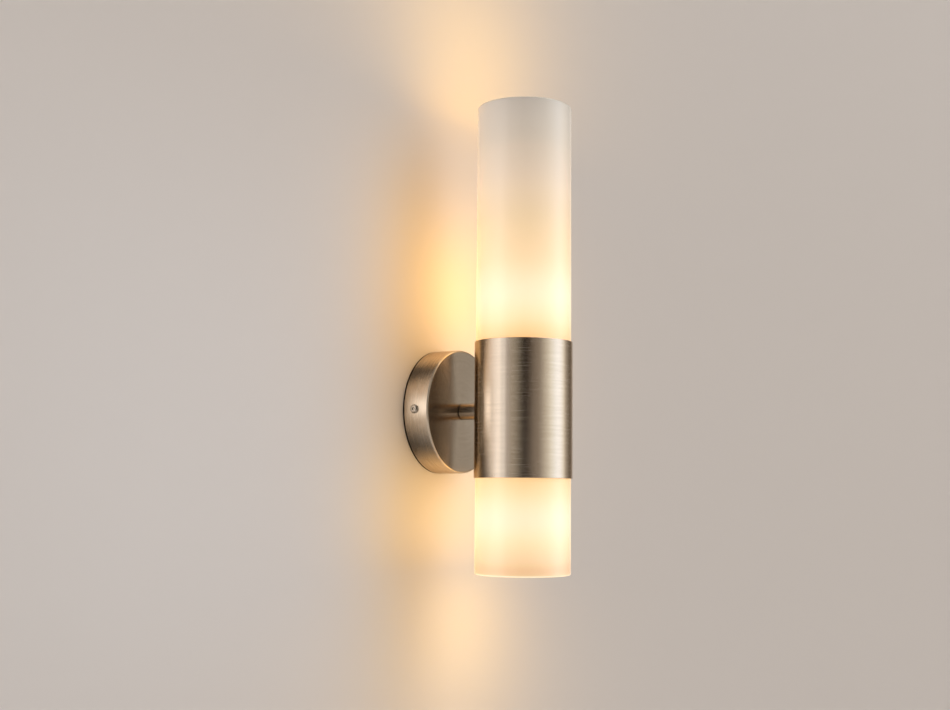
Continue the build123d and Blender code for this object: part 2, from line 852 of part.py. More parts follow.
# ---- The light, piece by piece ----


def group(solids):
    """Like pieces that share one node, each still its own solid."""
    return Compound(children=[solid for piece in solids for solid in piece.solids()])


arm_nut_places = (wall_nut_out, collar_nut_out)
arm_washer_places = (wall_lock_washer_out, collar_lock_washer_out)

pieces = {
    "canopy": canopy(),
    "wall_seal": wall_seal(),
    "wall_bracket": wall_bracket(),
    "cable_bush": cable_bush(),
    "left_canopy_screw": canopy_screw("left"),
    "right_canopy_screw": canopy_screw("right"),
    "arm_washer": from_wall(ring(arm_washer_diameter / 2, m10_hole_radius, canopy_depth, arm_start)),
    "arm_tube": arm_tube(),
    "arm_threaded_tube": from_wall(m10_tube(nipple_start, nipple_end)),
    "arm_nuts": group(from_wall(hex_nut(out)) for out in arm_nut_places),
    "arm_lock_washers": group(from_wall(lock_washer(out)) for out in arm_washer_places),
    "collar": collar(),
    "lampholder_strip": lampholder_strip(),
    "holder_nuts": group(on_tube(hex_nut(holder_nut_low), side) for side in ("upper", "lower")),
    "terminal_block": terminal_block(),
    "terminal_clamps": group(terminal_clamps()),
    "terminal_screws": group(terminal_screws()),
    "block_screw": block_screw(),
    "earth_lugs": group(earth_lugs()),
    "earth_screw": earth_screw(),
    "earth_lead": group(earth_lead()),
    "live_leads": group(supply_leads("live lead", -1)),
    "neutral_leads": group(supply_leads("neutral lead", 1)),
}

for side, reach in (("upper", upper_glass_top), ("lower", lower_glass_bottom)):
    stack = {
        "gallery": [gallery()],
        "seat_ring": [seat_ring()],
        "springs": leaf_springs(),
        "spring_rivets": spring_rivets(),
        "glass": [glass_tube(reach)],
        "holder_tube": [m10_tube(holder_nipple_low, holder_nipple_high)],
        "holder_cap": [holder_cap()],
        "holder_skirt": [holder_skirt()],
        "holder_core": [holder_core()],
        "holder_shell": [holder_shell()],
        "holder_contact": [holder_contact()],
        "bulb_contact": [bulb_contact()],
        "bulb_insulator": [bulb_insulator()],
        "bulb_cap": [bulb_cap()],
        "bulb_housing": [bulb_housing()],
        "bulb_globe": [bulb_globe()],
    }
    for name, solids in stack.items():
        pieces[f"{side}_{name}"] = group(on_tube(solid, side) for solid in solids)

os.makedirs("parts", exist_ok=True)
for name, piece in pieces.items():
    export_step(piece, f"parts/{name}.step")
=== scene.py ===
from math import cos, pi, radians, sin, sqrt

import bmesh
import bpy
from mathutils import Matrix, Vector


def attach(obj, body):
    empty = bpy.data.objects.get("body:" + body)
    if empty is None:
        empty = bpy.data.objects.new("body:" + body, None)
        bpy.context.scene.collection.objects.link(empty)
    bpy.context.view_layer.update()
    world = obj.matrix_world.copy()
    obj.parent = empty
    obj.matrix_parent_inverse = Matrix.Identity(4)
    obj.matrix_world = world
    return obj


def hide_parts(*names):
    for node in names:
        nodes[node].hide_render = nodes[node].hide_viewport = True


# A wall light with a long opal glass tube above a satin nickel collar and a short one below it.
# Sizes of its pieces are in millimetres and turned to metres as each mesh is made. The camera, the
# room and its lights are in metres.
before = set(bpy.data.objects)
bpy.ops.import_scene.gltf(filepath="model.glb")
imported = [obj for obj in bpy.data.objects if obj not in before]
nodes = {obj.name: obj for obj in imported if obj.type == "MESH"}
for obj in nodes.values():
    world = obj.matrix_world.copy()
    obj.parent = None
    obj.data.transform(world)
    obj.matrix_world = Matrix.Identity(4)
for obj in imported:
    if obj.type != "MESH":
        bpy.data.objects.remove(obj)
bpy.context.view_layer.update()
scene = bpy.context.scene

# ---- Camera ----
# It stands to the left of the light and a little below the collar, about a metre from the glass,
# and leans by less than half a degree.
heading, rise, lean = radians(57.111), radians(5.746), radians(0.463)
forward = Vector((sin(heading) * cos(rise), cos(heading) * cos(rise), sin(rise)))
level_right = Vector((cos(heading), -sin(heading), 0))
level_up = level_right.cross(forward)
right = level_right * cos(lean) + level_up * sin(lean)
up = level_up * cos(lean) - level_right * sin(lean)
camera = bpy.data.objects.new("camera", bpy.data.cameras.new("camera"))
camera.data.sensor_width = 36
camera.data.lens = 51.307
stand = Matrix.Translation((-0.9745, -0.66756, -0.06803))
camera.matrix_world = stand @ Matrix((right, up, -forward)).transposed().to_4x4()
scene.collection.objects.link(camera)
scene.camera = camera

# ---- Room and studio light ----
# A plain pale wall that the light hangs on, and a plain pale floor well below it. The wall is clear
# to a camera behind it, so that the back of the light can be seen.


def put(tree, kind, inputs=None, **settings):
    """Add a node with its settings, and give its inputs their values or links."""
    node = tree.nodes.new(kind)
    for name, value in settings.items():
        setattr(node, name, value)
    for key, value in (inputs or {}).items():
        if isinstance(value, bpy.types.NodeSocket):
            tree.links.new(value, node.inputs[key])
        else:
            node.inputs[key].default_value = value
    return node


def worked(tree, operation, *values):
    """The result of one sum on numbers or links."""
    return put(tree, "ShaderNodeMath", dict(enumerate(values)), operation=operation).outputs[0]


def ranged(tree, value, low, high, to_low=0, to_high=1, **settings):
    """A value carried over from one range to another, and held at the ends of the new one."""
    ends = dict(enumerate((value, low, high, to_low, to_high)))
    return put(tree, "ShaderNodeMapRange", ends, **settings).outputs[0]


def banded(tree, value, unit, stops):
    """Colours drawn smoothly through (value, colour) stops. The unit turns a stop's value to the tree's."""
    first, last = stops[0][0], stops[-1][0]
    bands = put(tree, "ShaderNodeValToRGB", {0: ranged(tree, value, first * unit, last * unit)})
    ramp = bands.color_ramp
    ramp.interpolation = "CARDINAL"
    for at, colour in stops[1:-1]:
        ramp.elements.new((at - first) / (last - first)).color = (*colour, 1)
    ramp.elements[0].color = (*stops[0][1], 1)
    ramp.elements[-1].color = (*stops[-1][1], 1)
    return bands.outputs[0]


def plain_sheet(name, points, faces, colour):
    """A stage sheet with a matt finish of one colour, which a camera behind it doesn't see."""
    mesh = bpy.data.meshes.new(name)
    mesh.from_pydata(points, [], faces)
    sheet = bpy.data.objects.new(name, mesh)
    scene.collection.objects.link(sheet)
    paint = bpy.data.materials.new(name)
    paint.use_nodes = True
    tree = paint.node_tree
    shader = tree.nodes["Principled BSDF"]
    shader.inputs["Base Color"].default_value = (*colour, 1)
    shader.inputs["Roughness"].default_value = 0.9
    shader.inputs["Specular IOR Level"].default_value = 0.2
    side = put(tree, "ShaderNodeNewGeometry").outputs["Backfacing"]
    seen = put(tree, "ShaderNodeLightPath").outputs["Is Camera Ray"]
    from_behind = worked(tree, "MULTIPLY", side, seen)
    clear = put(tree, "ShaderNodeBsdfTransparent").outputs[0]
    both = put(tree, "ShaderNodeMixShader", {0: from_behind, 1: shader.outputs[0], 2: clear})
    tree.links.new(both.outputs[0], tree.nodes["Material Output"].inputs["Surface"])
    mesh.materials.append(paint)


# The wall is a wide disc. It is open behind the canopy, so that the daylight behind it reaches the
# bracket and the wiring.
wall_y, wall_reach, wall_opening, rim_steps = 0.0003, 6.0, 0.0515, 64
rim = [(cos(2 * pi * k / rim_steps), sin(2 * pi * k / rim_steps)) for k in range(rim_steps)]
points = [(r * x, wall_y, r * z) for r in (wall_opening, wall_reach) for x, z in rim]
faces = []
for k in range(rim_steps):
    n = (k + 1) % rim_steps
    faces.append((n, k, k + rim_steps, n + rim_steps))
plain_sheet("room_wall", points, faces, (0.722, 0.673, 0.646))
wall_alone = bpy.data.collections.new("wall_alone")
wall_alone.objects.link(scene.objects["room_wall"])
floor_z = -1.4
corners = [(-5, -5, floor_z), (5, -5, floor_z), (5, 3, floor_z), (-5, 3, floor_z)]
plain_sheet("room_floor", corners, [(0, 1, 2, 3)], (0.66, 0.62, 0.58))

to_room, to_wall, upward, downward = (0, -1, 0), (0, 1, 0), (0, 0, 1), (0, 0, -1)


def soft_panel(name, place, way, size, radiance, tint, fade, on_wall=False):
    """A flat studio light that faces one way. Its brightness fades out towards its sides.

    A radiance of 1 is as bright as a white sheet in plain light. The fade is the share of the width and
    of the height over which it falls away. One for the wall lights the wall alone, and metal doesn't
    mirror it.
    """
    lamp = bpy.data.lights.new(name, "AREA")
    lamp.shape = "RECTANGLE"
    lamp.size, lamp.size_y = size
    lamp.energy = radiance * pi * size[0] * size[1]
    lamp.color = tint
    lamp.use_nodes = True
    tree = lamp.node_tree
    spot = put(tree, "ShaderNodeNewGeometry").outputs["Parametric"]
    spot = put(tree, "ShaderNodeVectorMath", {0: spot, 1: (0.5, 0.5, 0)}, operation="SUBTRACT").outputs[0]
    spot = put(tree, "ShaderNodeVectorMath", {0: spot}, operation="ABSOLUTE").outputs[0]
    off_centre = put(tree, "ShaderNodeSeparateXYZ", {0: spot}).outputs
    shares = []
    for k in (0, 1):
        start = 0.5 - fade[k] / 2
        shares.append(ranged(tree, off_centre[k], start, 0.5, 1, 0, interpolation_type="SMOOTHSTEP"))
    tree.links.new(worked(tree, "MULTIPLY", *shares), tree.nodes["Emission"].inputs["Strength"])
    panel = bpy.data.objects.new(name, lamp)
    facing = Vector(way).to_track_quat("-Z", "Y").to_matrix().to_4x4()
    panel.matrix_world = Matrix.Translation(place) @ facing
    panel.visible_camera = False
    scene.collection.objects.link(panel)
    if on_wall:
        panel.visible_glossy = False
        panel.light_linking.receiver_collection = wall_alone


# The fill comes from the left, along the wall.
soft_panel("near_fill", (-0.168, -0.003, 0.02), to_room, (0.24, 0.8), 0.45, (1.0, 0.96, 0.92), (0.9, 0.5))
soft_panel("far_fill", (-0.33, -0.003, 0.05), to_room, (0.62, 0.9), 0.45, (1.0, 0.97, 0.94), (0.9, 0.4))
soft_panel("side_fill", (-0.085, -0.003, 0.006), to_room, (0.07, 0.05), 0.95, (1.0, 0.97, 0.93), (0.9, 0.9))

# The glow is what the lit tubes throw on the wall behind them, and a little more leaves by their open
# mouths. The shine is the lit glass as metal mirrors it, so it isn't for the wall alone. The room adds
# a faint cool light on the left.
orange, amber, cool = (1.0, 0.51, 0.02), (1.0, 0.58, 0.09), (0.64, 0.81, 1.0)
for name, place, way, size, radiance, tint, fade, on_wall in (
    ("upper_glow", (0.043, -0.0466, 0.100), to_wall, (0.40, 0.33), 0.895, orange, 0.9, True),
    ("lower_glow", (0.015, -0.041, -0.0833), to_wall, (0.356, 0.18), 0.97, amber, 0.9, True),
    ("upper_shine", (0.02, -0.046, 0.105), to_wall, (0.09, 0.10), 1.1, orange, 0.6, False),
    ("lower_shine", (0.02, -0.041, -0.095), to_wall, (0.09, 0.10), 1.1, orange, 0.6, False),
    ("rim_glow", (0.0437, -0.032, 0.2706), to_wall, (0.25, 0.05), 1.17, orange, 0.9, True),
    ("room_glow", (-0.283, -0.047, -0.031), to_wall, (0.9, 0.73), 0.13, cool, 0.9, True),
    ("upper_mouth", (0.0512, -0.128, 0.2585), upward, (0.16, 0.068), 17.1, amber, 0.5, True),
    ("lower_mouth", (0.037, -0.1046, -0.137), downward, (0.107, 0.051), 21.3, amber, 0.5, True),
):
    soft_panel(name, place, way, size, radiance, tint, (fade, fade), on_wall)

# Two dark cards lie against the wall beside the canopy, one high and one low. They fan out from its
# rim the way the camera's view is mirrored in its side, and fade out towards their edges. Only
# polished metal shows them, as soft dark bands.
card_paint = bpy.data.materials.new("card_paint")
card_paint.use_nodes = True
tree = card_paint.node_tree
shader = tree.nodes["Principled BSDF"]
shader.inputs["Base Color"].default_value = (0.13, 0.115, 0.10, 1)
shader.inputs["Roughness"].default_value = 0.9
cover = put(tree, "ShaderNodeAttribute", attribute_name="cover").outputs["Fac"]
tree.links.new(cover, shader.inputs["Alpha"])
canopy_radius, card_length, card_y, card_steps = 0.053, 0.12, -0.0015, 16
for name, first, last in (("upper_card", 18, 54), ("lower_card", -62, -6)):
    points, faces, covers = [], [], []
    for k in range(card_steps + 1):
        angle = radians(first + (last - first) * k / card_steps)
        side = Vector((-cos(angle), 0, sin(angle)))
        sent = forward - 2 * forward.dot(side) * side
        for reach in (0, card_length):
            end = canopy_radius * side + reach * sent
            points.append((end.x, card_y, end.z))
            covers.append(sin(pi * k / card_steps) ** 1.5)
        if k:
            faces.append((2 * k - 2, 2 * k - 1, 2 * k + 1, 2 * k))
    mesh = bpy.data.meshes.new(name)
    mesh.from_pydata(points, [], faces)
    mesh.attributes.new("cover", "FLOAT", "POINT").data.foreach_set("value", covers)
    mesh.materials.append(card_paint)
    card = bpy.data.objects.new(name, mesh)
    scene.collection.objects.link(card)
    card.visible_camera = card.visible_diffuse = card.visible_shadow = False
    card.visible_transmission = card.visible_volume_scatter = False

# All round stands a soft tent of light. It is brightest to the right of the camera and dark and warm
# behind it. Overhead and below it is stronger on the right and weaker on the left.
room = bpy.data.worlds.new("room")
room.use_nodes = True
scene.world = room
tree = room.node_tree
look = put(tree, "ShaderNodeTexCoord").outputs["Generated"]
look = put(tree, "ShaderNodeSeparateXYZ", {0: look}).outputs
bearing = worked(tree, "ARCTAN2", look[1], look[0])
tent_stops = [
    (-180, (0.44, 0.39, 0.33)),
    (-168, (0.34, 0.30, 0.245)),
    (-147, (0.02, 0.014, 0.010)),
    (-126, (0.18, 0.145, 0.115)),
    (-107, (0.38, 0.33, 0.275)),
    (-86, (0.855, 0.81, 0.715)),
    (-72, (1.16, 1.18, 1.18)),
    (-56, (1.37, 1.41, 1.49)),
    (-42, (1.11, 1.07, 1.00)),
    (-35, (0.70, 0.63, 0.55)),
    (-30, (0.46, 0.41, 0.35)),
    (-8, (0.20, 0.17, 0.14)),
    (40, (0.5, 0.47, 0.44)),
    (140, (0.6, 0.57, 0.53)),
    (180, (0.44, 0.39, 0.33)),
]
# The bands can't be brighter than 1, so they hold a half of each colour, and the strength makes up
# for it.
tent = banded(tree, bearing, pi / 180, [(at, Vector(colour) / 2) for at, colour in tent_stops])
steepness = worked(tree, "MULTIPLY", look[2], look[2])
overhead = ranged(tree, bearing, radians(-112), radians(-76), 0.7, 5, interpolation_type="SMOOTHSTEP")
tree.links.new(tent, tree.nodes["Background"].inputs["Color"])
tree.links.new(ranged(tree, steepness, 0.05, 0.7, 2, overhead), tree.nodes["Background"].inputs["Strength"])
pale = put(tree, "ShaderNodeBackground", {"Color": (0.60, 0.56, 0.52, 1), "Strength": 1.0})
seen = put(tree, "ShaderNodeLightPath").outputs["Is Camera Ray"]
both = {0: seen, 1: tree.nodes["Background"].outputs[0], 2: pale.outputs[0]}
pick = put(tree, "ShaderNodeMixShader", both)
tree.links.new(pick.outputs[0], tree.nodes["World Output"].inputs["Surface"])
scene.view_settings.view_transform = "Standard"

# ---- Wall bracket ----
# A strap of 2 mm steel, pressed in one blow with its ears and tab and then bright zinc plated in a
# barrel. The plate is cool and faintly blue, with soft clouds and the scratches of the barrel.


def grain_group(name, sockets):
    """Start a shader group with these value inputs, and outputs for its fine and its broad grain."""
    group = bpy.data.node_groups.new(name, "ShaderNodeTree")
    group.interface.new_socket("Vector", in_out="INPUT", socket_type="NodeSocketVector")
    for label, kind, value in sockets:
        socket = group.interface.new_socket(label, in_out="INPUT", socket_type=kind)
        socket.default_value = value
    for label in ("Fine", "Broad"):
        group.interface.new_socket(label, in_out="OUTPUT", socket_type="NodeSocketFloat")
    return group, put(group, "NodeGroupInput").outputs, put(group, "NodeGroupOutput").inputs


# The grain of a drawn or moulded surface: fine marks, which may lie closer along one axis than along
# another, and slow clouds.
stretched_grain, given, made = grain_group(
    "stretched_grain", [("Stretch", "NodeSocketVector", (1, 1, 1)), ("Clouds", "NodeSocketFloat", 60)]
)
stretch = {0: given["Vector"], 1: given["Stretch"]}
drawn = put(stretched_grain, "ShaderNodeVectorMath", stretch, operation="MULTIPLY").outputs[0]
marks = {"Vector": drawn, "Scale": 1, "Detail": 4, "Roughness": 0.62}
fine = put(stretched_grain, "ShaderNodeTexNoise", marks).outputs["Fac"]
clouds = {"Vector": given["Vector"], "Scale": given["Clouds"], "Detail": 2}
broad = put(stretched_grain, "ShaderNodeTexNoise", clouds).outputs["Fac"]
stretched_grain.links.new(fine, made["Fine"])
stretched_grain.links.new(broad, made["Broad"])


def finish_with(
    name, grain, inputs, colours, gloss, depth, sockets=None, location=(0, 0, 0), rotation=(0, 0, 0)
):
    """A finish whose colour clouds, gloss and surface follow a grain group.

    The colours and the two roughness values are those of the low and the high end of the grain, and the
    depth of the surface is in millimetres.
    """
    finish = bpy.data.materials.new(name)
    finish.use_nodes = True
    tree = finish.node_tree
    shader = tree.nodes["Principled BSDF"]
    for socket, value in (sockets or {}).items():
        shader.inputs[socket].default_value = value
    place = put(tree, "ShaderNodeTexCoord").outputs["Object"]
    turned_to = {"Vector": place, "Location": location, "Rotation": rotation}
    own = put(tree, "ShaderNodeMapping", turned_to).outputs["Vector"]
    marks = put(tree, "ShaderNodeGroup", {"Vector": own, **inputs}, node_tree=grain).outputs
    low, high = [(*colour, 1) for colour in colours]
    shades = {0: ranged(tree, marks["Broad"], 0.3, 0.7), 6: low, 7: high}
    tint = put(tree, "ShaderNodeMix", shades, data_type="RGBA").outputs[2]
    rough = ranged(tree, marks["Fine"], 0.3, 0.7, *gloss)
    surface = {"Height": marks["Fine"], "Distance": depth / 1000, "Strength": 1}
    relief = put(tree, "ShaderNodeBump", surface).outputs[0]
    tree.links.new(tint, shader.inputs["Base Color"])
    tree.links.new(rough, shader.inputs["Roughness"])
    tree.links.new(relief, shader.inputs["Normal"])
    return finish


def dress(finish, *names):
    """Give the named pieces of the frame one finish."""
    for name in names:
        nodes[name].material_slots[0].material = finish


zinc_steel = finish_with(
    "zinc_steel",
    stretched_grain,
    {"Stretch": (900, 900, 1500), "Clouds": 130},
    [(0.56, 0.575, 0.59), (0.70, 0.705, 0.70)],
    (0.24, 0.42),
    0.006,
    {"Metallic": 1.0},
)
dress(zinc_steel, "wall_bracket")

# ---- Cable bush and wall seal ----
# The bush is moulded rubber, pushed into the bracket's hole so that the cable can't chafe. The seal
# is a ring of closed-cell foam that fills the canopy's edge against an uneven wall.
grey_rubber = finish_with(
    "grey_rubber",
    stretched_grain,
    {"Stretch": (2600, 2600, 2600), "Clouds": 220},
    [(0.045, 0.045, 0.047), (0.075, 0.075, 0.077)],
    (0.5, 0.68),
    0.01,
    {"Specular IOR Level": 0.35},
)
dress(grey_rubber, "cable_bush")
black_foam = finish_with(
    "black_foam",
    stretched_grain,
    {"Stretch": (2100, 2100, 2100), "Clouds": 500},
    [(0.012, 0.012, 0.013), (0.035, 0.034, 0.034)],
    (0.85, 0.98),
    0.12,
    {"Specular IOR Level": 0.15},
)
dress(black_foam, "wall_seal")

# ---- Terminal block and earth connection ----
# The block is moulded in natural polyamide, which is a little milky and yellow. Its clamps and screws
# are brass, and the ring terminals are tinned copper, crimped on the earth lead.
block_plastic = finish_with(
    "block_plastic",
    stretched_grain,
    {"Stretch": (500, 500, 500), "Clouds": 90},
    [(0.72, 0.70, 0.63), (0.80, 0.785, 0.73)],
    (0.32, 0.46),
    0.008,
    {"Subsurface Weight": 0.25, "Subsurface Scale": 0.002},
)
dress(block_plastic, "terminal_block")
brass = finish_with(
    "brass",
    stretched_grain,
    {"Stretch": (700, 700, 1800), "Clouds": 160},
    [(0.70, 0.50, 0.22), (0.83, 0.64, 0.34)],
    (0.20, 0.38),
    0.005,
    {"Metallic": 1.0},
)
dress(brass, "terminal_clamps", "terminal_screws", "earth_screw")
dress(zinc_steel, "block_screw")
tinned_copper = finish_with(
    "tinned_copper",
    stretched_grain,
    {"Stretch": (800, 800, 800), "Clouds": 240},
    [(0.60, 0.58, 0.56), (0.74, 0.72, 0.70)],
    (0.26, 0.5),
    0.01,
    {"Metallic": 1.0},
)
dress(tinned_copper, "earth_lugs")

# ---- Canopy ----
# A cup spun from steel, brushed round its axis on the lathe and plated in warm satin nickel. The
# brush leaves fine rings on the face and fine lines round the side, which draw each highlight out.
turned_grain, given, made = grain_group(
    "turned_grain", [("Lines", "NodeSocketFloat", 9000), ("Arc", "NodeSocketFloat", 1.3)]
)
parts = put(turned_grain, "ShaderNodeSeparateXYZ", {0: given["Vector"]}).outputs
flat = put(turned_grain, "ShaderNodeCombineXYZ", {0: parts[0], 1: parts[1]}).outputs[0]
radius = put(turned_grain, "ShaderNodeVectorMath", {0: flat}, operation="LENGTH").outputs["Value"]
around = put(turned_grain, "ShaderNodeVectorMath", {0: flat}, operation="NORMALIZE").outputs[0]
arc = put(turned_grain, "ShaderNodeVectorMath", {0: around, 3: given["Arc"]}, operation="SCALE").outputs[0]
line = worked(turned_grain, "MULTIPLY", worked(turned_grain, "ADD", radius, parts[2]), given["Lines"])
ring = put(turned_grain, "ShaderNodeSeparateXYZ", {0: arc}).outputs
way = put(turned_grain, "ShaderNodeCombineXYZ", {0: ring[0], 1: ring[1], 2: line}).outputs[0]
marks = {"Vector": way, "Scale": 1, "Detail": 3, "Roughness": 0.6}
fine = put(turned_grain, "ShaderNodeTexNoise", marks).outputs["Fac"]
slow = worked(turned_grain, "MULTIPLY", line, 0.07)
slow_way = put(turned_grain, "ShaderNodeCombineXYZ", {0: ring[0], 1: ring[1], 2: slow}).outputs[0]
clouds = {"Vector": slow_way, "Scale": 1, "Detail": 2}
broad = put(turned_grain, "ShaderNodeTexNoise", clouds).outputs["Fac"]
turned_grain.links.new(fine, made["Fine"])
turned_grain.links.new(broad, made["Broad"])


def satin_nickel(name, axis, location, rotation, gloss=(0.20, 0.28), face_from=None):
    """Warm satin nickel, brushed round an axis. Its highlights are drawn out across the brush lines.

    Beyond the given distance from the wall, in millimetres, it is the face of a cup. The face is
    polished before it is brushed, so it is smoother. Its colour is also darkened there as painted
    shade, which stands in for the dark reflections on the face, and the edge fillet left at full
    colour shows as a painted bright line.
    """
    finish = finish_with(
        name,
        turned_grain,
        {"Lines": 9000, "Arc": 1.3},
        [(0.70, 0.61, 0.505), (0.75, 0.66, 0.555)],
        gloss,
        0.0025,
        {
            "Metallic": 1.0,
            "Anisotropic": 0.8,
            "Anisotropic Rotation": 0.25,
            "Specular Tint": (0.62, 0.55, 0.48, 1),
        },
        location,
        rotation,
    )
    tree = finish.node_tree
    lay = put(tree, "ShaderNodeTangent", direction_type="RADIAL", axis=axis)
    tree.links.new(lay.outputs[0], tree.nodes["Principled BSDF"].inputs["Tangent"])
    if face_from:
        place = put(tree, "ShaderNodeTexCoord").outputs["Object"]
        out = put(tree, "ShaderNodeSeparateXYZ", {0: place}).outputs[1]
        edge = (-face_from / 1000, -(face_from + 0.2) / 1000)
        rough = tree.nodes["Principled BSDF"].inputs["Roughness"]
        eased = worked(tree, "MULTIPLY", rough.links[0].from_socket, ranged(tree, out, *edge, 1, 0.72))
        tree.links.new(eased, rough)
        # Painted shade: the face's colour is scaled down to 0.62 of the rest, and the fillet left at full
        # colour reads as a painted bright edge line.
        colour = tree.nodes["Principled BSDF"].inputs["Base Color"]
        dimmed = {0: colour.links[0].from_socket, 3: ranged(tree, out, *edge, 1, 0.62)}
        face_painted_shade = put(tree, "ShaderNodeVectorMath", dimmed, operation="SCALE").outputs[0]
        tree.links.new(face_painted_shade, colour)
    return finish


facing_wall = (pi / 2, 0, 0)
# The canopy's face gets the painted shade from 24.75 mm out from the wall.
canopy_nickel = satin_nickel("canopy_nickel", "Y", (0, 0, 0), facing_wall, (0.24, 0.32), 24.75)
dress(canopy_nickel, "canopy")

# ---- Arm ----
# A sleeve of steel tube over the threaded tube that clamps canopy and collar together. Its far end
# is cut to the collar's round, and a washer of black fibre sits at its root.
arm_nickel = satin_nickel("arm_nickel", "Y", (0, 0, 0), facing_wall, (0.16, 0.26))
dress(arm_nickel, "arm_tube")
black_fibre = finish_with(
    "black_fibre",
    stretched_grain,
    {"Stretch": (1500, 1500, 1500), "Clouds": 300},
    [(0.018, 0.016, 0.014), (0.04, 0.035, 0.03)],
    (0.6, 0.8),
    0.02,
)
dress(black_fibre, "arm_washer")
dress(zinc_steel, "arm_lock_washers")


def start_tree(name, sockets):
    """Start a geometry tree that takes a mesh and these inputs, and give its input and output sockets."""
    tree = bpy.data.node_groups.new(name, "GeometryNodeTree")
    for label, kind in [("Mesh", "NodeSocketGeometry"), *sockets, ("Finish", "NodeSocketMaterial")]:
        tree.interface.new_socket(label, in_out="INPUT", socket_type=kind)
    tree.interface.new_socket("Piece", in_out="OUTPUT", socket_type="NodeSocketGeometry")
    return tree, put(tree, "NodeGroupInput").outputs, put(tree, "NodeGroupOutput").inputs


def end_tree(tree, shape, given, made):
    """End a geometry tree: make its copies real, give them their finish and put them out."""
    whole = put(tree, "GeometryNodeRealizeInstances", {0: shape}).outputs[0]
    coated = put(tree, "GeometryNodeSetMaterial", {0: whole, "Material": given["Finish"]}).outputs[0]
    tree.links.new(coated, made["Piece"])


def grown(name, tree, points, edges, faces, values):
    """Run a geometry tree on a mesh drawn in millimetres, and keep what it makes as a plain mesh."""
    mesh = bpy.data.meshes.new(name)
    mesh.from_pydata([Vector(point) / 1000 for point in points], edges, faces)
    piece = bpy.data.objects.new(name, mesh)
    scene.collection.objects.link(piece)
    shape = piece.modifiers.new("shape", "NODES")
    shape.node_group = tree
    for item in tree.interface.items_tree:
        if item.name in values:
            shape[item.identifier] = values[item.name]
    made = bpy.data.meshes.new_from_object(piece.evaluated_get(bpy.context.evaluated_depsgraph_get()))
    piece.modifiers.clear()
    made.materials.clear()
    made.materials.append(values["Finish"])
    piece.data = made
    return piece


def fit(piece, places, body, finish_slot, *stands_for):
    """Close the piece's seams, copy it to its places, shade it and hang it on its body."""
    shape, whole = bmesh.new(), bmesh.new()
    for place in places:
        shape.from_mesh(piece.data)
        bmesh.ops.transform(shape, matrix=place, verts=shape.verts)
        bmesh.ops.remove_doubles(shape, verts=shape.verts, dist=2e-7)
        bmesh.ops.recalc_face_normals(shape, faces=shape.faces)
        one = bpy.data.meshes.new("one")
        shape.to_mesh(one)
        whole.from_mesh(one)
        bpy.data.meshes.remove(one)
        shape.clear()
    whole.to_mesh(piece.data)
    whole.free()
    shape.free()
    piece.data.shade_smooth()
    piece.data.set_sharp_from_angle(angle=radians(34))
    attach(piece, body)
    if stands_for:
        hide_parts(*stands_for)


# The threading tree turns an outline round the axis and sinks a round-bottomed thread in its
# outside. The outline is drawn as (distance from the ring, -height).
ring_radius = 1.0
thread_sizes = ["Ring radius", "Pitch", "Depth", "Start", "End", "Least radius"]
threading, given, made = start_tree(
    "threading", [("Steps", "NodeSocketInt")] + [(label, "NodeSocketFloat") for label in thread_sizes]
)
ring = {"Resolution": given["Steps"], "Radius": given["Ring radius"]}
path = put(threading, "GeometryNodeCurvePrimitiveCircle", ring).outputs["Curve"]
drawn = put(threading, "GeometryNodeMeshToCurve", {"Mesh": given["Mesh"]}).outputs["Curve"]
swept = put(threading, "GeometryNodeCurveToMesh", {"Curve": path, "Profile Curve": drawn}).outputs[0]
joined = put(threading, "GeometryNodeMergeByDistance", {"Geometry": swept, "Distance": 2e-7}).outputs[0]
spot = put(threading, "GeometryNodeInputPosition").outputs[0]
part = put(threading, "ShaderNodeSeparateXYZ", {0: spot}).outputs
turn = worked(threading, "ARCTAN2", part[1], part[0])
climb = worked(threading, "MULTIPLY", worked(threading, "DIVIDE", part[2], given["Pitch"]), 2 * pi)
swing = worked(threading, "COSINE", worked(threading, "SUBTRACT", turn, climb))
wave = ranged(threading, swing, -1, 1, 1, 0)
run_in = worked(threading, "ADD", given["Start"], given["Pitch"])
run_out = worked(threading, "SUBTRACT", given["End"], given["Pitch"])
rising = ranged(threading, part[2], given["Start"], run_in)
falling = ranged(threading, part[2], run_out, given["End"], 1, 0)
share = worked(threading, "MULTIPLY", worked(threading, "MULTIPLY", rising, falling), wave)
sink = worked(threading, "MULTIPLY", share, given["Depth"])
inward = worked(threading, "MULTIPLY", sink, -1)
level = put(threading, "ShaderNodeCombineXYZ", {0: part[0], 1: part[1]}).outputs[0]
from_axis = put(threading, "ShaderNodeVectorMath", {0: level}, operation="LENGTH").outputs["Value"]
outward = put(threading, "ShaderNodeVectorMath", {0: level}, operation="NORMALIZE").outputs[0]
shift = put(threading, "ShaderNodeVectorMath", {0: outward, 3: inward}, operation="SCALE").outputs[0]
outside = worked(threading, "GREATER_THAN", from_axis, given["Least radius"])
moved = {"Geometry": joined, "Selection": outside, "Offset": shift}
end_tree(threading, put(threading, "GeometryNodeSetPosition", moved).outputs[0], given, made)


def threaded(name, outline, finish, steps, pitch, depth, start, end, least_radius):
    """A turned piece with an outside thread between two heights.

    The outline is (radius, height). It closes on itself, or starts and ends on the axis.
    """
    points = [(radius - ring_radius, -height, 0) for radius, height in outline]
    sides = len(points) if outline[0][0] else len(points) - 1
    edges = [(k, (k + 1) % len(points)) for k in range(sides)]
    sizes = (ring_radius, pitch, depth, start, end, least_radius)
    values = {label: size / 1000 for label, size in zip(thread_sizes, sizes)}
    values |= {"Steps": steps, "Finish": finish}
    return grown(name, threading, points, edges, [], values)


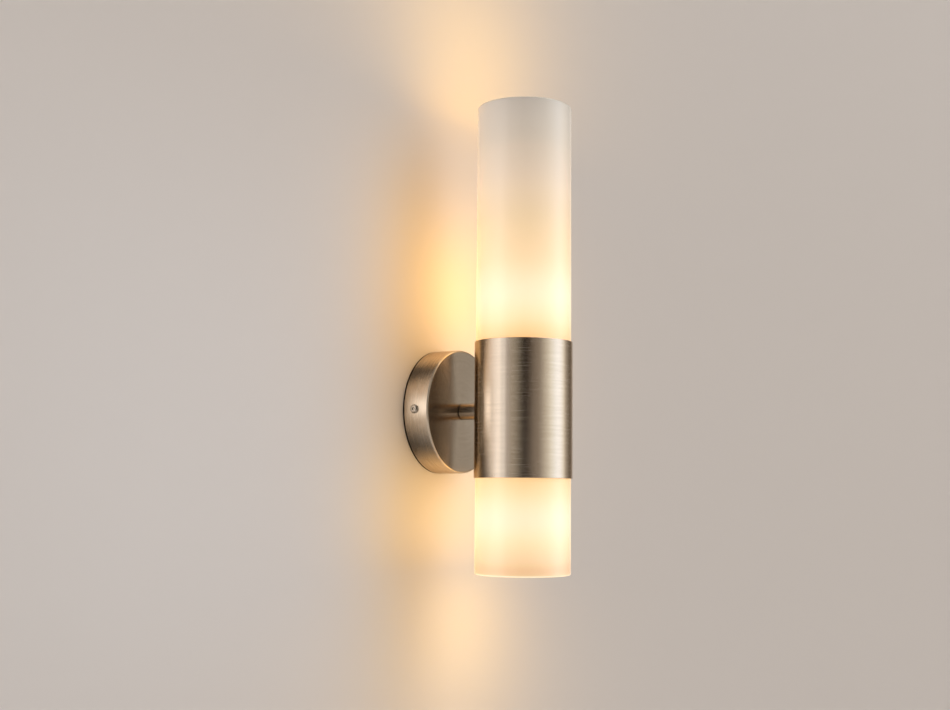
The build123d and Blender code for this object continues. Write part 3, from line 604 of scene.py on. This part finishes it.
def steps_up(radius, low, high, count):
    """Points up a straight side, close enough together to carry a thread."""
    return [(radius, low + (high - low) * k / count) for k in range(count + 1)]


m10_radius, m10_bore_radius, m10_chamfer = 5.0, 4.0, 0.5
m10_thread = {"pitch": 1.0, "depth": 0.6, "least_radius": m10_bore_radius + 0.2}


def m10_tube(name, length, finish):
    """M10 x 1 tube that stands on the origin, threaded all along, with both its ends chamfered."""
    crest, edge = m10_radius, m10_chamfer
    outside = steps_up(crest, edge, length - edge, round(5 * length))
    ends = [(crest - edge, length), (m10_bore_radius, length), (m10_bore_radius, 0), (crest - edge, 0)]
    return threaded(name, outside + ends, finish, 40, start=-1, end=length + 1, **m10_thread)


wall_to_room = Matrix.Rotation(pi / 2, 4, "X")
arm_start, arm_end = 17.5, 54.46
arm_core = m10_tube("arm_thread", arm_end - arm_start, zinc_steel)
standing = Matrix.Translation((0, -arm_start / 1000, 0)) @ wall_to_room
fit(arm_core, [standing], "fixture", "zinc_steel", "arm_threaded_tube")


def lofted(name, rings, finish, closed=False):
    """A piece whose skin runs from ring to ring of points, all with the same count. Sizes are in mm.

    A closed one runs back from its last ring to its first, and another is capped at both ends.
    """
    count = len(rings[0])
    points = [Vector(point) / 1000 for ring in rings for point in ring]
    spans = len(rings) if closed else len(rings) - 1
    faces = []
    for k in range(spans):
        here, there = k * count, (k + 1) % len(rings) * count
        for j in range(count):
            n = (j + 1) % count
            faces.append((here + j, here + n, there + n, there + j))
    if not closed:
        last = (len(rings) - 1) * count
        faces += [tuple(range(count)), tuple(range(last, last + count))]
    mesh = bpy.data.meshes.new(name)
    mesh.from_pydata(points, [], faces)
    mesh.materials.append(finish)
    piece = bpy.data.objects.new(name, mesh)
    scene.collection.objects.link(piece)
    return piece


def round_ring(radius, height, count=48):
    """A level ring of points. The radius is a number, or a function of the angle."""
    angles = [2 * pi * k / count for k in range(count)]
    reach = radius if callable(radius) else lambda angle: radius
    return [(reach(angle) * cos(angle), reach(angle) * sin(angle), height) for angle in angles]


def six_sides(flats, limit=1000.0):
    """The reach of a hexagon at an angle, with its corners cut back to a limit."""
    return lambda angle: min(flats / 2 / cos(angle % (pi / 3) - pi / 6), limit)


nut_flats, nut_thickness, nut_lead_in, nut_corner_depth = 14.0, 3.0, 0.5, 0.7


def m10_nut(name, finish):
    """Thin M10 nut that stands on the origin. Its corners are turned off at both faces."""
    bore, face, top = m10_radius + 0.05, nut_flats / 2 - 0.15, nut_thickness
    rings = [round_ring(bore, nut_lead_in), round_ring(bore + nut_lead_in, 0), round_ring(face, 0)]
    corners = []
    for height in (0.2, 0.45, nut_corner_depth):
        limit = face + (nut_flats / sqrt(3) - face) * height / nut_corner_depth
        corners.append((height, six_sides(nut_flats, limit)))
    rings += [round_ring(reach, height) for height, reach in corners]
    rings += [round_ring(reach, top - height) for height, reach in reversed(corners)]
    rings += [round_ring(face, top), round_ring(bore + nut_lead_in, top)]
    rings.append(round_ring(bore, top - nut_lead_in))
    return lofted(name, rings, finish, closed=True)


wall_nut_out, collar_nut_out = 19.2, 49.757
on_arm = [Matrix.Translation((0, -out / 1000, 0)) @ wall_to_room for out in (wall_nut_out, collar_nut_out)]
fit(m10_nut("arm_nut_pair", zinc_steel), on_arm, "fixture", "zinc_steel", "arm_nuts")

# ---- Collar ----
# A plain length of steel tube, brushed round its axis and plated as the canopy is. Both its ends
# are faced square on the lathe with only the burr taken off, and the glass tubes go inside them.
tube_axis_out = 86.0
collar_nickel = satin_nickel("collar_nickel", "Z", (0, tube_axis_out / 1000, 0), (0, 0, 0))
dress(collar_nickel, "collar")

# ---- Lampholder strip ----
# A strap of zinc plated steel, folded to a channel. Its back is clamped to the collar by the arm's
# nut, and each flange carries a gallery and a lampholder on a short threaded tube.
dress(zinc_steel, "lampholder_strip")
to_axis = Matrix.Translation((0, -tube_axis_out / 1000, 0))
stacks = {"upper": to_axis, "lower": to_axis @ Matrix.Rotation(pi, 4, "Y")}
holder_nut_low, holder_tube_low, holder_tube_high = 19.0, 17.3, 32.0
seats = [stack @ Matrix.Translation((0, 0, holder_nut_low / 1000)) for stack in stacks.values()]
fit(m10_nut("holder_nut_pair", zinc_steel), seats, "fixture", "zinc_steel", "holder_nuts")
for side, stack in stacks.items():
    tube = m10_tube(f"{side}_holder_thread", holder_tube_high - holder_tube_low, zinc_steel)
    place = stack @ Matrix.Translation((0, 0, holder_tube_low / 1000))
    fit(tube, [place], "fixture", "zinc_steel", f"{side}_holder_tube")

# ---- Glass springs and seats ----
# Three bowed strips of stainless spring steel grip each glass tube from inside. They are riveted to
# the gallery, a zinc plated disc, and a ring of milky silicone keeps the glass off the metal.
dress(zinc_steel, "upper_gallery", "lower_gallery")
spring_steel = finish_with(
    "spring_steel",
    stretched_grain,
    {"Stretch": (2200, 2200, 150), "Clouds": 120},
    [(0.50, 0.50, 0.51), (0.62, 0.615, 0.61)],
    (0.18, 0.34),
    0.003,
    {"Metallic": 1.0},
)
dress(spring_steel, "upper_springs", "lower_springs", "upper_spring_rivets", "lower_spring_rivets")
clear_silicone = finish_with(
    "clear_silicone",
    stretched_grain,
    {"Stretch": (400, 400, 400), "Clouds": 70},
    [(0.74, 0.74, 0.72), (0.82, 0.82, 0.80)],
    (0.3, 0.45),
    0.006,
    {"Subsurface Weight": 0.5, "Subsurface Scale": 0.003},
)
dress(clear_silicone, "upper_seat_ring", "lower_seat_ring")

# ---- Lampholders ----
# The cap and skirt are moulded in white heat-proof plastic, a little matt from the spark-eroded
# mould. The core is unglazed porcelain and carries a pressed brass shell and contact.
white_thermoplastic = finish_with(
    "white_thermoplastic",
    stretched_grain,
    {"Stretch": (1800, 1800, 1800), "Clouds": 60},
    [(0.78, 0.765, 0.735), (0.83, 0.82, 0.795)],
    (0.42, 0.56),
    0.01,
    {"Subsurface Weight": 0.1, "Subsurface Scale": 0.001},
)
dress(white_thermoplastic, "upper_holder_cap", "lower_holder_cap")
dress(white_thermoplastic, "upper_holder_skirt", "lower_holder_skirt")
porcelain = finish_with(
    "porcelain",
    stretched_grain,
    {"Stretch": (2400, 2400, 2400), "Clouds": 200},
    [(0.80, 0.775, 0.73), (0.86, 0.84, 0.80)],
    (0.55, 0.75),
    0.02,
)
dress(porcelain, "upper_holder_core", "lower_holder_core")
dress(brass, "upper_holder_contact", "lower_holder_contact")

# The ribs tree stands copies of one rib on a circle, each turned to face away from the axis.
ribbing, given, made = start_tree("ribbing", [("Count", "NodeSocketInt"), ("Radius", "NodeSocketFloat")])
circle = put(ribbing, "GeometryNodeMeshCircle", {"Vertices": given["Count"], "Radius": given["Radius"]})
number = put(ribbing, "GeometryNodeInputIndex").outputs[0]
angle = worked(ribbing, "MULTIPLY", worked(ribbing, "DIVIDE", number, given["Count"]), 2 * pi)
facing = put(ribbing, "ShaderNodeCombineXYZ", {2: angle}).outputs[0]
spread = {"Points": circle.outputs[0], "Instance": given["Mesh"], "Rotation": facing}
end_tree(ribbing, put(ribbing, "GeometryNodeInstanceOnPoints", spread).outputs[0], given, made)

rib_count, rib_width, rib_height, rib_low, rib_high = 36, 1.2, 0.45, 42.0, 52.0
rib_root, skirt_radius = 0.2, 14.0
rib_section = [
    (-rib_root, -rib_width / 2),
    (rib_root, -rib_width / 3),
    (rib_height, 0),
    (rib_root, rib_width / 3),
    (-rib_root, rib_width / 2),
]
for side, stack in stacks.items():
    points = [(x, y, height) for height in (rib_low, rib_high) for x, y in rib_section]
    count = len(rib_section)
    faces = [(k, (k + 1) % count, (k + 1) % count + count, k + count) for k in range(count)]
    faces += [tuple(range(count)), tuple(reversed(range(count, 2 * count)))]
    values = {"Count": rib_count, "Radius": skirt_radius / 1000, "Finish": white_thermoplastic}
    ribs = grown(f"{side}_holder_ribs", ribbing, points, [], faces, values)
    fit(ribs, [stack], "fixture", "white_thermoplastic")

# The shell is rolled with the bulb's own thread, E14, which its outside shows.
shell_bore, shell_sheet, shell_low, shell_high = 7.15, 0.5, 43.0, 65.0
edison_pitch = 2.82
for side, stack in stacks.items():
    outer, flange = shell_bore + shell_sheet, shell_bore + shell_sheet + 1.0
    outline = [(shell_bore, shell_low), (flange, shell_low), (flange, shell_low + shell_sheet)]
    outline += steps_up(outer, shell_low + shell_sheet, shell_high, 70) + [(shell_bore, shell_high)]
    thread = {"pitch": edison_pitch, "depth": 0.38, "least_radius": shell_bore + 0.2}
    run = {"start": shell_low + 3, "end": shell_high - 2}
    shell = threaded(f"{side}_rolled_shell", outline, brass, 48, **thread, **run)
    fit(shell, [stack], "fixture", "brass", f"{side}_holder_shell")

# ---- Bulbs ----
# A golf ball bulb with a satin plastic diffuser that glows warm white, a white moulded housing, and
# a rolled screw cap of nickel-plated aluminium on a black glass insulator.
bulb_diffuser = finish_with(
    "bulb_diffuser",
    stretched_grain,
    {"Stretch": (1500, 1500, 1500), "Clouds": 40},
    [(0.88, 0.85, 0.80), (0.92, 0.90, 0.86)],
    (0.35, 0.45),
    0.004,
    {"Emission Color": (1.0, 0.84, 0.58, 1), "Emission Strength": 0.7},
)
dress(bulb_diffuser, "upper_bulb_globe", "lower_bulb_globe")
bulb_housing = finish_with(
    "bulb_housing",
    stretched_grain,
    {"Stretch": (1300, 1300, 1300), "Clouds": 60},
    [(0.80, 0.79, 0.77), (0.85, 0.84, 0.82)],
    (0.3, 0.42),
    0.006,
)
dress(bulb_housing, "upper_bulb_housing", "lower_bulb_housing")
bulb_cap_metal = finish_with(
    "bulb_cap_metal",
    stretched_grain,
    {"Stretch": (300, 300, 2600), "Clouds": 180},
    [(0.62, 0.62, 0.62), (0.76, 0.755, 0.75)],
    (0.2, 0.36),
    0.005,
    {"Metallic": 1.0},
)
dress(bulb_cap_metal, "upper_bulb_contact", "lower_bulb_contact")
cap_radius, cap_low, cap_high = 6.85, 48.5, 69.5
for side, stack in stacks.items():
    outline = [(0, cap_low), (5.6, cap_low), (6.2, cap_low + 0.25), (6.6, cap_low + 0.7)]
    outline += steps_up(cap_radius, cap_low + 1.2, cap_high, 76) + [(0, cap_high)]
    thread = {"pitch": edison_pitch, "depth": 0.8, "least_radius": cap_radius - 0.5}
    run = {"start": cap_low + 0.6, "end": cap_high - 4.5}
    cap = threaded(f"{side}_rolled_cap", outline, bulb_cap_metal, 48, **thread, **run)
    fit(cap, [stack], f"{side}_bulb", "bulb_cap_metal", f"{side}_bulb_cap")
bulb_insulator = finish_with(
    "bulb_insulator",
    stretched_grain,
    {"Stretch": (500, 500, 500), "Clouds": 200},
    [(0.012, 0.012, 0.016), (0.03, 0.03, 0.035)],
    (0.08, 0.18),
    0.003,
)
dress(bulb_insulator, "upper_bulb_insulator", "lower_bulb_insulator")

# ---- Leads ----
# Single cores in extruded insulation, brown for live and blue for neutral. The earth lead is green
# with a yellow stripe down each side, and lies in one plane as a loop.


def insulation(name, *shades):
    """Smooth extruded insulation between two shades of one colour."""
    extruded = {"Stretch": (900, 900, 900), "Clouds": 110}
    return finish_with(name, stretched_grain, extruded, shades, (0.28, 0.42), 0.008)


dress(insulation("brown_insulation", (0.14, 0.055, 0.022), (0.19, 0.08, 0.035)), "live_leads")
dress(insulation("blue_insulation", (0.03, 0.11, 0.38), (0.05, 0.16, 0.48)), "neutral_leads")
earth_insulation = insulation("earth_insulation", (0.05, 0.28, 0.06), (0.07, 0.34, 0.08))
tree = earth_insulation.node_tree
place = put(tree, "ShaderNodeTexCoord").outputs["Object"]
in_plane = put(tree, "ShaderNodeMapping", {"Vector": place, "Rotation": (0, pi / 4, 0)}).outputs["Vector"]
aside = put(tree, "ShaderNodeSeparateXYZ", {0: in_plane}).outputs[2]
stripe_edge = (0.00064, 0.00068)
stripe = ranged(tree, worked(tree, "ABSOLUTE", aside), *stripe_edge)
green = tree.nodes["Principled BSDF"].inputs["Base Color"]
shades = {0: stripe, 6: green.links[0].from_socket, 7: (0.72, 0.52, 0.03, 1)}
striped = put(tree, "ShaderNodeMix", shades, data_type="RGBA").outputs[2]
tree.links.new(striped, green)
dress(earth_insulation, "earth_lead")

# ---- Canopy screws ----
# Steel button heads with a hexagon socket, nickel plated and polished, one in each side of the
# canopy.
# The colours are far darker than the canopy's nickel. This is painted shade that keeps the small polished
# heads from shining bright in the side fill.
nickel_screw = finish_with(
    "nickel_screw",
    stretched_grain,
    {"Stretch": (700, 700, 700), "Clouds": 260},
    [(0.42, 0.38, 0.33), (0.50, 0.46, 0.40)],
    (0.12, 0.22),
    0.003,
    {"Metallic": 1.0},
)
head_radius, head_height, head_rim = 3.8, 2.0, 0.35
socket_flats, socket_depth, socket_edge = 2.5, 1.3, 0.15
shank_radius, shank_length, shank_pitch, shank_thread_depth = 2.0, 8.0, 0.7, 0.4


def shank_reach(height, fade):
    """The shank's reach at an angle. Where the fade is 0, only the thread's core is left."""

    def reach(angle):
        wave = 0.5 - 0.5 * cos(angle - 2 * pi * height / shank_pitch)
        return shank_radius - shank_thread_depth * (1 - fade + fade * wave)

    return reach


def button_screw(name):
    """M4 button head screw on the origin, its thread wound up the shank."""
    rings = [round_ring(0.01, -shank_length), round_ring(shank_radius - 0.5, -shank_length)]
    turns = round(8 * shank_length / shank_pitch)
    for k in range(turns + 1):
        height = -shank_length + 0.3 + (shank_length - 0.6) * k / turns
        fade = min(1, 3 * k / turns, 12 * (1 - k / turns))
        rings.append(round_ring(shank_reach(height, fade), height))
    rings += [round_ring(shank_radius, -0.05), round_ring(shank_radius, 0), round_ring(head_radius - 0.2, 0)]
    rings += [round_ring(head_radius, 0.15), round_ring(head_radius, head_rim)]
    mouth = socket_flats / sqrt(3) + socket_edge
    for k in range(1, 9):
        radius = mouth + (head_radius - mouth) * cos(k * pi / 16)
        rings.append(round_ring(radius, head_rim + (head_height - head_rim) * sin(k * pi / 16)))
    rings.append(round_ring(six_sides(socket_flats), head_height - socket_edge))
    rings.append(round_ring(six_sides(socket_flats), head_height - socket_depth))
    rings.append(round_ring(0.01, head_height - socket_depth - 0.5))
    return lofted(name, rings, nickel_screw)


screw_seat_out, screw_from_wall = 53.1, 12.0
for side, sign in (("left", -1), ("right", 1)):
    seat = Matrix.Translation((sign * screw_seat_out / 1000, -screw_from_wall / 1000, 0))
    sideways = Matrix(((0, 0, sign, 0), (0, sign, 0, 0), (1, 0, 0, 0), (0, 0, 0, 1)))
    node = f"{side}_canopy_screw"
    fit(button_screw(f"{side}_button_screw"), [seat @ sideways], node, "nickel_screw", node)

# ---- Glass tubes ----
# Drawn opal glass, cased in a thin clear coat and cut to length, with its ends melted round in the
# flame. Its glow is painted light: an emission graded along the tube stands in for the lit bulb's
# light coming through the glass, brightest at the bulb's height and less towards the far end.


def opal_glass(name, stops):
    """Opal glass whose glow follows the given (height, colour) stops along the tube."""
    clear_coat = {"Coat Weight": 0.45, "Coat Roughness": 0.04, "Coat Tint": (1.0, 0.95, 0.86, 1)}
    finish = finish_with(
        name,
        stretched_grain,
        {"Stretch": (14, 14, 3), "Clouds": 9},
        [(0.74, 0.73, 0.71), (0.77, 0.76, 0.74)],
        (0.16, 0.22),
        0.02,
        {**clear_coat, "Emission Strength": 1.0},
    )
    tree = finish.node_tree
    place = put(tree, "ShaderNodeTexCoord").outputs["Object"]
    height = put(tree, "ShaderNodeSeparateXYZ", {0: place}).outputs[2]
    # The glow is painted light, an emission that stands in for the bulb's light through the glass.
    glow = banded(tree, height, 0.001, stops)
    tree.links.new(glow, tree.nodes["Principled BSDF"].inputs["Emission Color"])
    return finish


upper_tube_glow = [
    (26.5, (0.60, 0.30, 0.05)),
    (60, (0.74, 0.37, 0.07)),
    (71, (0.84, 0.52, 0.21)),
    (93, (0.90, 0.61, 0.36)),
    (121, (0.72, 0.46, 0.21)),
    (154, (0.54, 0.35, 0.15)),
    (188, (0.42, 0.29, 0.18)),
    (221, (0.26, 0.20, 0.15)),
    # The glow fades to none at the top rim, a painted darker line along it.
    (256, (0.14, 0.12, 0.11)),
    (258, (0.0, 0.0, 0.0)),
]
dress(opal_glass("upper_opal", upper_tube_glow), "upper_glass")
lower_tube_glow = [
    # A painted bright line lies along the lower rim.
    (-136.5, (0.95, 0.80, 0.50)),
    (-135, (0.58, 0.31, 0.09)),
    (-124, (0.66, 0.38, 0.14)),
    (-108, (0.84, 0.53, 0.25)),
    (-91, (0.90, 0.60, 0.36)),
    (-75, (0.82, 0.53, 0.25)),
    (-60, (0.72, 0.40, 0.10)),
    (-26.5, (0.60, 0.30, 0.05)),
]
dress(opal_glass("lower_opal", lower_tube_glow), "lower_glass")
